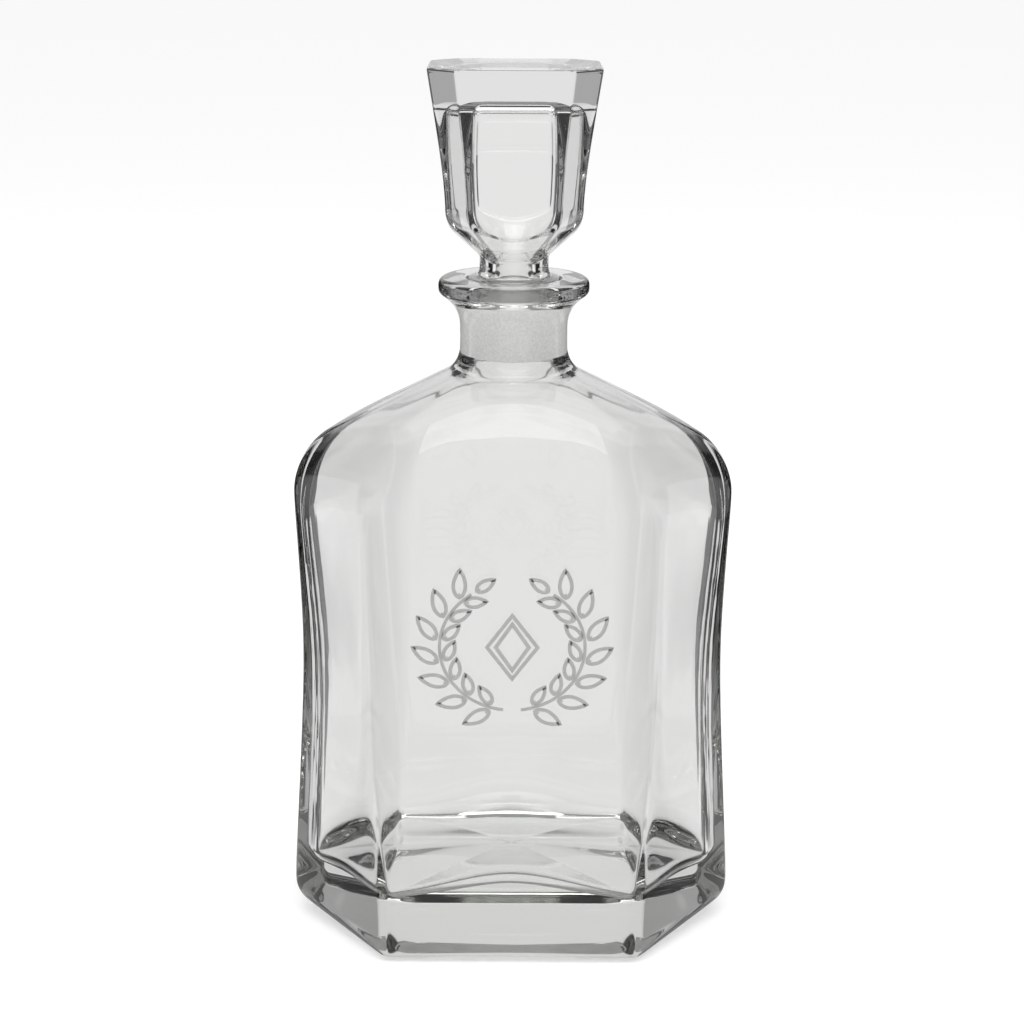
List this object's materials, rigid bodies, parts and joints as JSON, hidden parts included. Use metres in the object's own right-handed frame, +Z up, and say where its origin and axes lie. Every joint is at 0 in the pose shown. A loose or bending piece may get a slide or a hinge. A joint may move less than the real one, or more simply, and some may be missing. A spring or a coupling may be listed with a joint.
{
  "type": "decanter with stopper",
  "caption": "Tall cut-cornered glass decanter with a thick foot, waisted sides and a round lipped neck, closed by a flared hollow glass stopper that lifts out.",
  "frame": {"origin": "centre of the standing ring, on the surface that the decanter stands on", "axes": "+Z up along the neck, -Y out of the broad front panel, +X towards the narrow right side"},
  "size_m": [0.124, 0.072, 0.24],
  "materials": {
    "bottle_glass": "clear polished, ground inside the mouth",
    "stopper_glass": "clear polished, with a ground plug"
  },
  "bodies": {
    "bottle": {"bottle": "bottle_glass"},
    "stopper": {"stopper": "stopper_glass"}
  },
  "joints": [
    {"name": "stopper_lift", "type": "slide", "parent": "bottle", "child": "stopper", "axis": [0, 0, 1], "range_m": [0, 0.05]}
  ]
}
